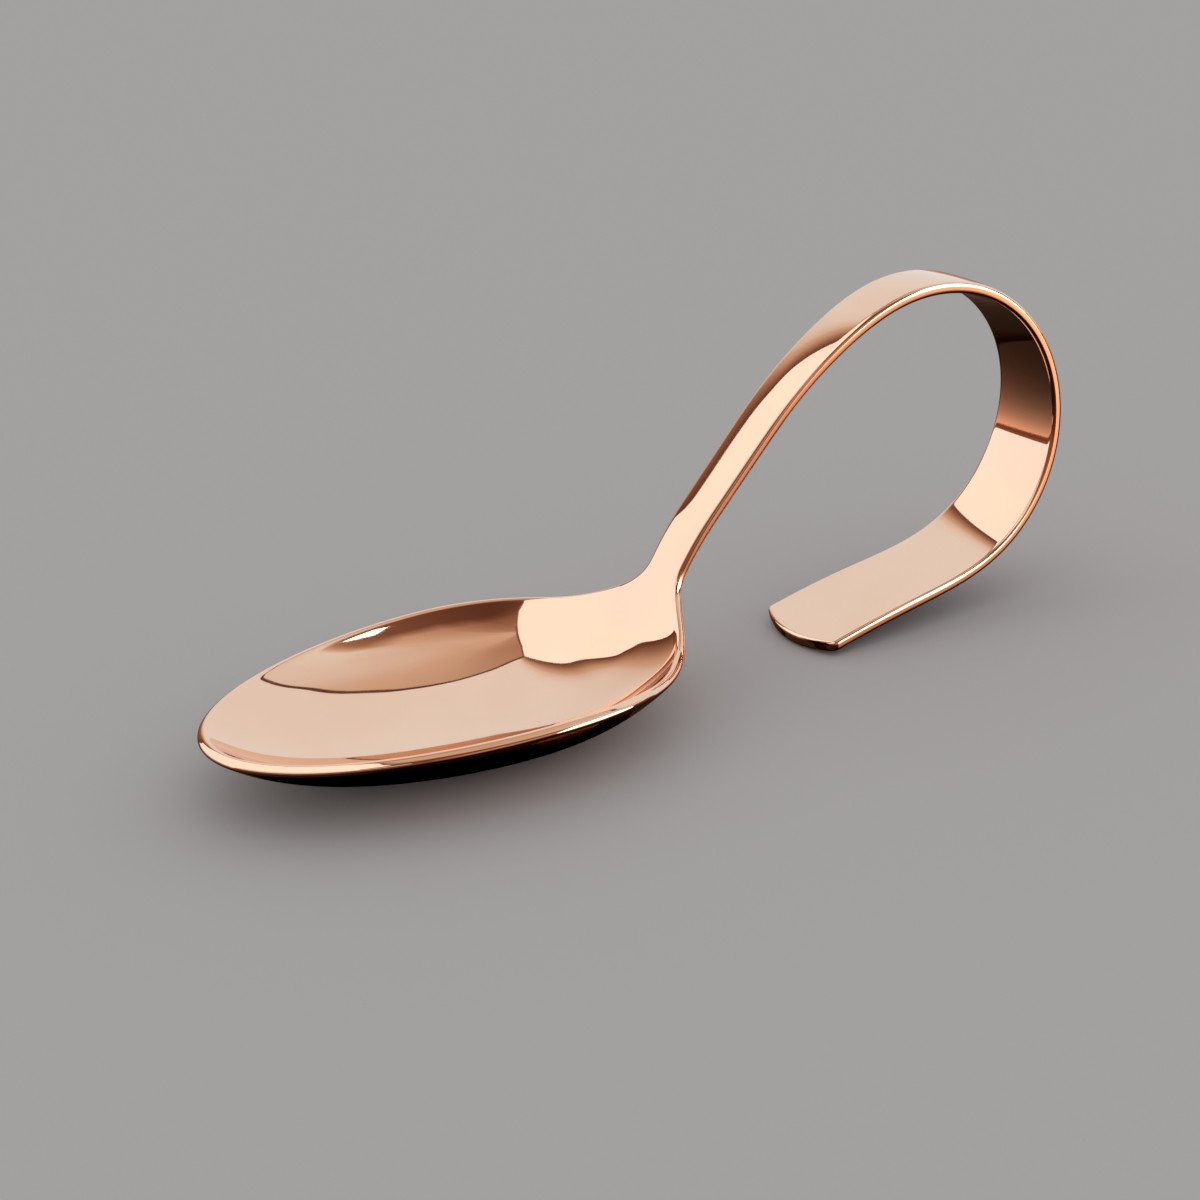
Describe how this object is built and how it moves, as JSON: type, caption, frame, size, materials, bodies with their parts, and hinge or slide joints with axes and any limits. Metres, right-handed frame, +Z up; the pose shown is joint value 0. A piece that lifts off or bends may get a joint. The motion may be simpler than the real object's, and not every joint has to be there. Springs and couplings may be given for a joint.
{
  "type": "gourmet spoon",
  "caption": "Self-standing serving spoon with an oval dished bowl and a flat handle bent over into a loop that comes back down to the table as a foot.",
  "frame": {"origin": "on the table, under the middle of the spoon's bounding box", "axes": "+X from the bowl's tip to the back of the loop, +Y across the bowl, +Z up"},
  "size_m": [0.122, 0.04, 0.0458],
  "materials": {
    "copper_mirror": "stainless steel with a thin copper-coloured coating, polished to a mirror"
  },
  "bodies": {
    "root": {"bowl": "copper_mirror", "neck": "copper_mirror", "stem": "copper_mirror", "crown": "copper_mirror", "back": "copper_mirror", "foot": "copper_mirror"}
  },
  "joints": []
}
